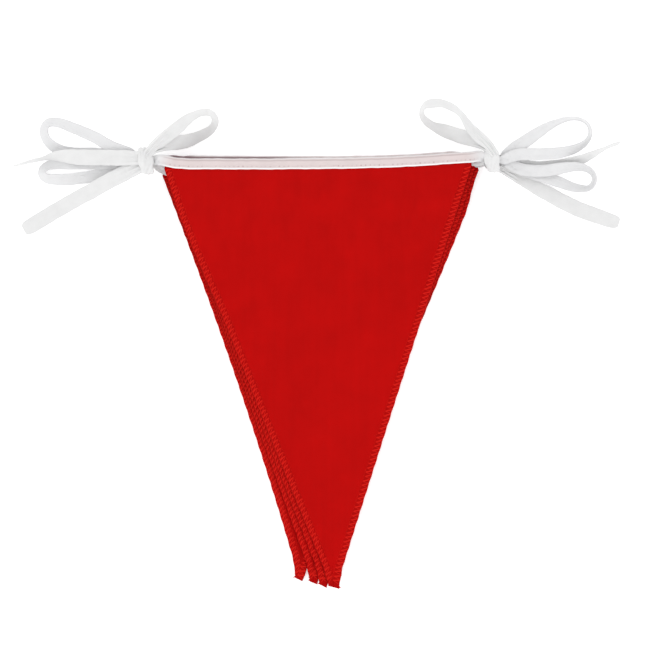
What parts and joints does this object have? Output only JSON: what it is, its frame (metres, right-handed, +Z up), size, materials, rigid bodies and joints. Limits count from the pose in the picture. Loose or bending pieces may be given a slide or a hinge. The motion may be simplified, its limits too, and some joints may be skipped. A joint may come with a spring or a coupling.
{
  "type": "folded flag bunting",
  "caption": "Bunting folded away flat: red cloth pennants on a white fold-over tape, laid back and forth in a pile, gathered and tied at both sides in half bows.",
  "frame": {"origin": "under the middle of the object's box, on the surface that the pile lies on", "axes": "+X along the folded band from the left knot to the right knot, +Y from the pennant tips to the band, +Z up from the surface through the pile of layers"},
  "size_m": [0.3878, 0.3142, 0.0198],
  "materials": {
    "red_cloth": "matt woven polyester with overlocked slanted edges",
    "white_tape": "matt woven fold-over tape"
  },
  "bodies": {
    "root": {"pennant_1": "red_cloth", "pennant_2": "red_cloth", "pennant_3": "red_cloth", "pennant_4": "red_cloth", "pennant_5": "red_cloth", "header_tape": "white_tape", "tie_left": "white_tape", "tie_right": "white_tape"}
  },
  "joints": []
}
